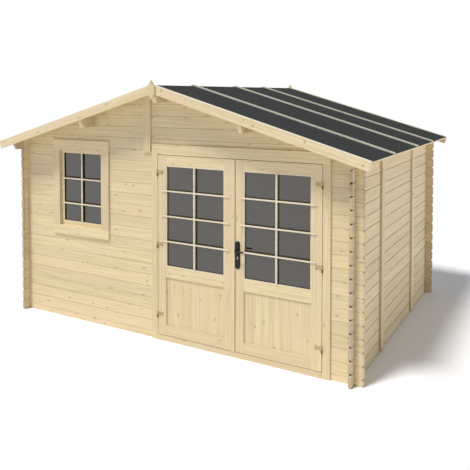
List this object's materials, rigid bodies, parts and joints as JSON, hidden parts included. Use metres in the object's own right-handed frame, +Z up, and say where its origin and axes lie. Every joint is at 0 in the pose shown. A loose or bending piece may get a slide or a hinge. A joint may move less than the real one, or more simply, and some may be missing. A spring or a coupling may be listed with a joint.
{
  "type": "log cabin",
  "caption": "Garden log cabin with interlocking log walls, low felted gable roof, glazed double door and one barred window.",
  "frame": {"origin": "on the ground at the middle of the plan, under the ridge", "axes": "+X to the right along the front wall, +Y to the back, +Z up; the front wall faces -Y"},
  "size_m": [4.2288, 3.304, 2.5709],
  "materials": {
    "log_wood": "planed, untreated",
    "board_wood": "planed, untreated",
    "joinery_wood": "sanded, untreated",
    "roof_felt": "mineral felt, matt",
    "glass": "clear, dark room behind",
    "hinge_brass": "yellow passivated",
    "black_metal": "black, satin"
  },
  "bodies": {
    "cabin": {"front_wall_even_courses": "log_wood", "front_wall_odd_courses": "log_wood", "back_wall_even_courses": "log_wood", "back_wall_odd_courses": "log_wood", "left_wall_even_courses": "log_wood", "left_wall_odd_courses": "log_wood", "right_wall_even_courses": "log_wood", "right_wall_odd_courses": "log_wood", "ridge_purlin": "log_wood", "side_purlins": "log_wood", "roof_boards_left": "board_wood", "roof_boards_right": "board_wood", "roof_felt_left": "roof_felt", "roof_felt_right": "roof_felt", "felt_laths": "board_wood", "bargeboards_left": "board_wood", "bargeboards_right": "board_wood", "gable_diamonds": "board_wood", "gable_board": "board_wood", "side_wall_battens": "board_wood", "floor_bearers": "log_wood", "floor_boards": "board_wood", "window_jambs": "joinery_wood", "window_head_and_sill": "joinery_wood", "window_sash": "joinery_wood", "window_glass": "glass", "door_jambs": "joinery_wood", "door_head": "joinery_wood", "door_sill": "log_wood", "jamb_hinges": "hinge_brass"},
    "left_leaf": {"left_leaf_stiles": "joinery_wood", "left_leaf_rails": "joinery_wood", "left_leaf_panel": "joinery_wood", "left_leaf_glass": "glass", "left_leaf_strip": "joinery_wood", "left_leaf_hinges": "hinge_brass"},
    "right_leaf": {"right_leaf_stiles": "joinery_wood", "right_leaf_rails": "joinery_wood", "right_leaf_panel": "joinery_wood", "right_leaf_glass": "glass", "right_leaf_hinges": "hinge_brass", "handle_plates": "black_metal"},
    "lever": {"door_lever": "black_metal"}
  },
  "joints": [
    {"name": "left_door", "type": "hinge", "parent": "cabin", "child": "left_leaf", "pos_m": [-0.07799, -1.444, 0.945], "axis": [0, 0, -1], "range_deg": [0, 110]},
    {"name": "right_door", "type": "hinge", "parent": "cabin", "child": "right_leaf", "pos_m": [1.63901, -1.444, 0.945], "axis": [0, 0, 1], "range_deg": [0, 110]},
    {"name": "lever_turn", "type": "hinge", "parent": "right_leaf", "child": "lever", "pos_m": [0.82201, -1.436, 1.009], "axis": [0, 1, 0], "range_deg": [0, 40], "stiffness_Nm_per_rad": 1.5, "springref_deg": -28.65}
  ]
}
